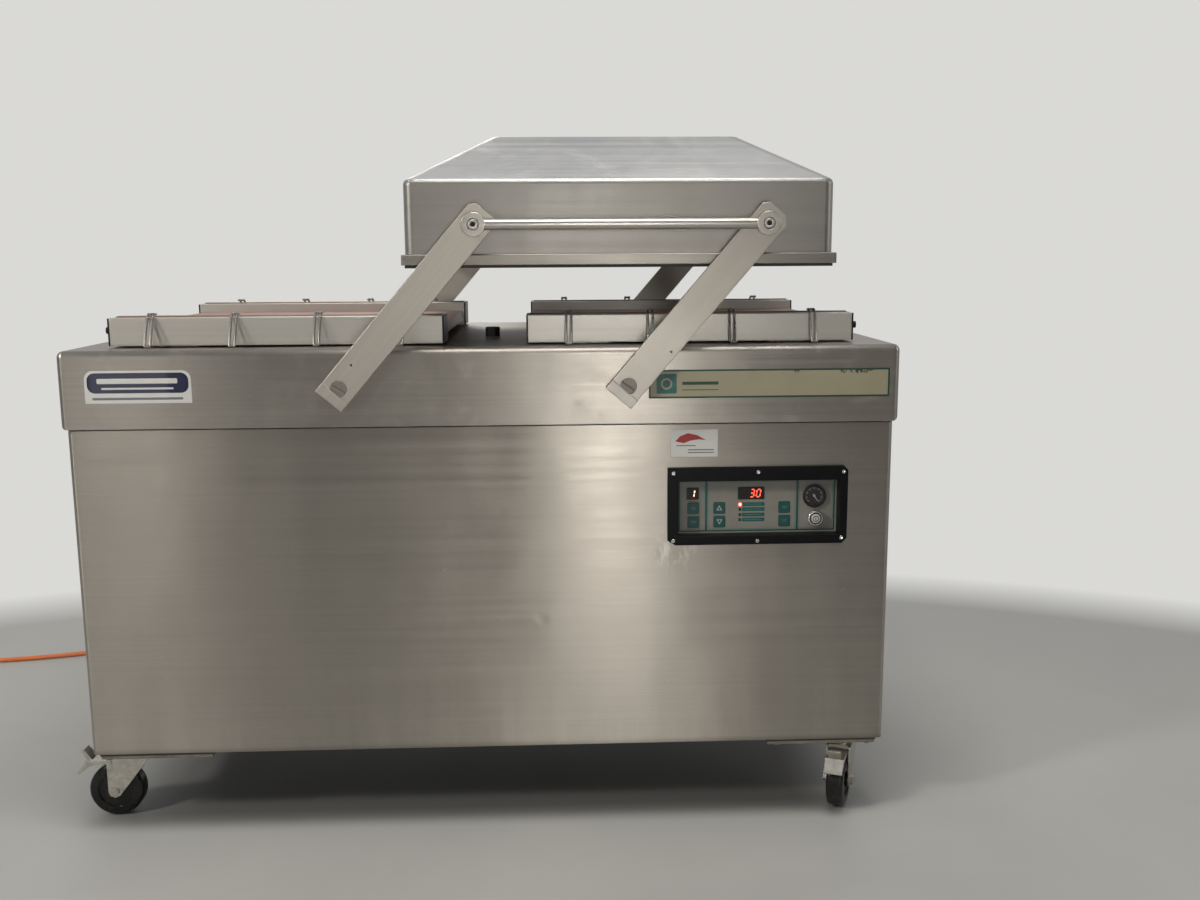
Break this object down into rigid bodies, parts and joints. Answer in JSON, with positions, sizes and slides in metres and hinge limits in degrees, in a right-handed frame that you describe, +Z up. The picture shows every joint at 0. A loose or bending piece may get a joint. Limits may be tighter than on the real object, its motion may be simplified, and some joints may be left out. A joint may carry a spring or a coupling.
{
  "type": "vacuum chamber sealer",
  "caption": "Floor-standing double-chamber vacuum sealer: wheeled steel cabinet, worktop with seal bars, and a shared lid that swings between two chambers on parallel arms.",
  "frame": {"origin": "on the floor, under the middle of the machine's own bounding box (without the mains lead)", "axes": "+X to the operator's right, +Y away from the operator, +Z up"},
  "size_m": [2.2525, 1.0885, 1.238],
  "materials": {
    "cabinet_steel": "brushed, satin",
    "head_steel": "brushed, satin",
    "lid_steel": "fine brushed",
    "arm_steel": "satin, hand finished",
    "bar_aluminium": "matt anodised",
    "seal_bar": "milled, with a woven non-stick tape",
    "black_plastic": "moulded",
    "wire_steel": "drawn wire",
    "plate_brown": "cut board",
    "frame_steel": "painted",
    "bezel_black": "fine texture",
    "fascia_film": "printed film",
    "key_teal": "printed film",
    "gauge_black": "gloss",
    "gauge_glass": "clear",
    "needle_white": "painted",
    "chrome": "polished",
    "button_white": "moulded",
    "pump_paint": "painted",
    "motor_paint": "painted",
    "rubber_black": "matt",
    "spring_steel": "oiled",
    "bronze": "turned",
    "zinc": "zinc plated",
    "wheel_black": "moulded tread",
    "lead_orange": "smooth sheath",
    "seal_rubber": "sponge rubber",
    "electrics_grey": "painted"
  },
  "bodies": {
    "root": {"bag_clips": "wire_steel", "bar_end_caps": "black_plastic", "bar_housings": "bar_aluminium", "base_frame": "frame_steel", "castor_plates": "zinc", "control_bezel": "bezel_black", "control_fascia": "fascia_film", "counterbalance_springs": "spring_steel", "electrical_units": "electrics_grey", "front_panel": "cabinet_steel", "gauge_case": "gauge_black", "gauge_lens": "gauge_glass", "insert_plates": "plate_brown", "lift_cylinders": "black_plastic", "mains_cord": "lead_orange", "mains_cord_coil": "lead_orange", "mains_gland": "black_plastic", "mains_plug": "rubber_black", "panel_screws": "zinc", "port_cap": "black_plastic", "pump_motor": "motor_paint", "rear_panel": "cabinet_steel", "shaft_bearings": "bronze", "side_panels": "cabinet_steel", "switch_bezel": "chrome", "vacuum_hose": "rubber_black", "vacuum_pump": "pump_paint", "worktop_head": "head_steel"},
    "left_arms": {"left_arms": "arm_steel", "left_shaft": "zinc"},
    "right_arms": {"right_arms": "arm_steel", "right_shaft": "zinc"},
    "lid": {"lid_shell": "lid_steel", "lid_rim": "lid_steel", "lid_seals": "seal_rubber", "counter_bars": "bar_aluminium", "handle_bar": "arm_steel", "lid_pivot_screws": "zinc"},
    "left_front_seal_bar": {"left_front_seal_bar": "seal_bar"},
    "left_rear_seal_bar": {"left_rear_seal_bar": "seal_bar"},
    "right_front_seal_bar": {"right_front_seal_bar": "seal_bar"},
    "right_rear_seal_bar": {"right_rear_seal_bar": "seal_bar"},
    "gauge_needle": {"gauge_needle": "needle_white"},
    "switch_button": {"switch_button": "button_white"},
    "key_mode_upper": {"key_mode_upper": "key_teal"},
    "key_mode_lower": {"key_mode_lower": "key_teal"},
    "key_up": {"key_up": "key_teal"},
    "key_down": {"key_down": "key_teal"},
    "key_stop_upper": {"key_stop_upper": "key_teal"},
    "key_stop_lower": {"key_stop_lower": "key_teal"},
    "front_left_castor": {"front_left_castor_fork": "zinc"},
    "front_left_wheel": {"front_left_castor_wheel": "wheel_black"},
    "front_left_brake_pedal": {"front_left_brake_pedal": "zinc"},
    "front_right_castor": {"front_right_castor_fork": "zinc"},
    "front_right_wheel": {"front_right_castor_wheel": "wheel_black"},
    "front_right_brake_pedal": {"front_right_brake_pedal": "zinc"},
    "rear_left_castor": {"rear_left_castor_fork": "zinc"},
    "rear_left_wheel": {"rear_left_castor_wheel": "wheel_black"},
    "rear_right_castor": {"rear_right_castor_fork": "zinc"},
    "rear_right_wheel": {"rear_right_castor_wheel": "wheel_black"}
  },
  "joints": [
    {"name": "lid_swing", "type": "hinge", "parent": "root", "child": "left_arms", "pos_m": [-0.222, 0.00625, 0.806], "axis": [0, 1, 0], "range_deg": [-107.8, 26.6], "stiffness_Nm_per_rad": 75, "springref_deg": -40.6},
    {"name": "right_arm_swing", "type": "hinge", "parent": "root", "child": "right_arms", "pos_m": [0.272, 0.00625, 0.806], "axis": [0, 1, 0], "range_deg": [-107.8, 26.6]},
    {"name": "lid_levelling", "type": "hinge", "parent": "left_arms", "child": "lid", "pos_m": [0.01293, 0.00625, 1.0801], "axis": [0, 1, 0], "range_deg": [-26.6, 107.8]},
    {"name": "left_front_seal_bar_lift", "type": "slide", "parent": "root", "child": "left_front_seal_bar", "axis": [0, 0, 1], "range_m": [0, 0.008]},
    {"name": "left_rear_seal_bar_lift", "type": "slide", "parent": "root", "child": "left_rear_seal_bar", "axis": [0, 0, 1], "range_m": [0, 0.008]},
    {"name": "right_front_seal_bar_lift", "type": "slide", "parent": "root", "child": "right_front_seal_bar", "axis": [0, 0, 1], "range_m": [0, 0.008]},
    {"name": "right_rear_seal_bar_lift", "type": "slide", "parent": "root", "child": "right_rear_seal_bar", "axis": [0, 0, 1], "range_m": [0, 0.008]},
    {"name": "gauge_needle_turn", "type": "hinge", "parent": "root", "child": "gauge_needle", "pos_m": [0.607, -0.34175, 0.6014], "axis": [0, 1, 0], "range_deg": [-270, 0]},
    {"name": "switch_button_push", "type": "slide", "parent": "root", "child": "switch_button", "axis": [0, 1, 0], "range_m": [0, 0.003], "stiffness_N_per_m": 600},
    {"name": "key_mode_upper_push", "type": "slide", "parent": "root", "child": "key_mode_upper", "axis": [0, 1, 0], "range_m": [0, 0.0005], "stiffness_N_per_m": 1500},
    {"name": "key_mode_lower_push", "type": "slide", "parent": "root", "child": "key_mode_lower", "axis": [0, 1, 0], "range_m": [0, 0.0005], "stiffness_N_per_m": 1500},
    {"name": "key_up_push", "type": "slide", "parent": "root", "child": "key_up", "axis": [0, 1, 0], "range_m": [0, 0.0005], "stiffness_N_per_m": 1500},
    {"name": "key_down_push", "type": "slide", "parent": "root", "child": "key_down", "axis": [0, 1, 0], "range_m": [0, 0.0005], "stiffness_N_per_m": 1500},
    {"name": "key_stop_upper_push", "type": "slide", "parent": "root", "child": "key_stop_upper", "axis": [0, 1, 0], "range_m": [0, 0.0005], "stiffness_N_per_m": 1500},
    {"name": "key_stop_lower_push", "type": "slide", "parent": "root", "child": "key_stop_lower", "axis": [0, 1, 0], "range_m": [0, 0.0005], "stiffness_N_per_m": 1500},
    {"name": "front_left_swivel", "type": "hinge", "parent": "root", "child": "front_left_castor", "pos_m": [-0.639, -0.27675, 0.125], "axis": [0, 0, 1], "continuous": true},
    {"name": "front_left_wheel_spin", "type": "hinge", "parent": "front_left_castor", "child": "front_left_wheel", "pos_m": [-0.679, -0.27675, 0.05], "axis": [0, -1, 0], "continuous": true},
    {"name": "front_left_brake", "type": "hinge", "parent": "front_left_castor", "child": "front_left_brake_pedal", "pos_m": [-0.684, -0.27675, 0.107], "axis": [0, -1, 0], "range_deg": [0, 9]},
    {"name": "front_right_swivel", "type": "hinge", "parent": "root", "child": "front_right_castor", "pos_m": [0.689, -0.27675, 0.125], "axis": [0, 0, 1], "continuous": true},
    {"name": "front_right_wheel_spin", "type": "hinge", "parent": "front_right_castor", "child": "front_right_wheel", "pos_m": [0.67299, -0.3134, 0.05], "axis": [0.9164, -0.4003, 0], "continuous": true},
    {"name": "front_right_brake", "type": "hinge", "parent": "front_right_castor", "child": "front_right_brake_pedal", "pos_m": [0.67098, -0.31799, 0.107], "axis": [0.9164, -0.4003, 0], "range_deg": [0, 9]},
    {"name": "rear_left_swivel", "type": "hinge", "parent": "root", "child": "rear_left_castor", "pos_m": [-0.639, 0.28925, 0.125], "axis": [0, 0, 1], "continuous": true},
    {"name": "rear_left_wheel_spin", "type": "hinge", "parent": "rear_left_castor", "child": "rear_left_wheel", "pos_m": [-0.65398, 0.32634, 0.05], "axis": [-0.9272, -0.3746, 0], "continuous": true},
    {"name": "rear_right_swivel", "type": "hinge", "parent": "root", "child": "rear_right_castor", "pos_m": [0.689, 0.28925, 0.125], "axis": [0, 0, 1], "continuous": true},
    {"name": "rear_right_wheel_spin", "type": "hinge", "parent": "rear_right_castor", "child": "rear_right_wheel", "pos_m": [0.70654, 0.3252, 0.05], "axis": [-0.8988, 0.4384, 0], "continuous": true}
  ],
  "couplings": [
    {"joint": "right_arm_swing", "follows": "lid_swing", "ratio": 1},
    {"joint": "lid_levelling", "follows": "lid_swing", "ratio": -1},
    {"joint": "left_rear_seal_bar_lift", "follows": "left_front_seal_bar_lift", "ratio": 1},
    {"joint": "right_rear_seal_bar_lift", "follows": "right_front_seal_bar_lift", "ratio": 1}
  ]
}
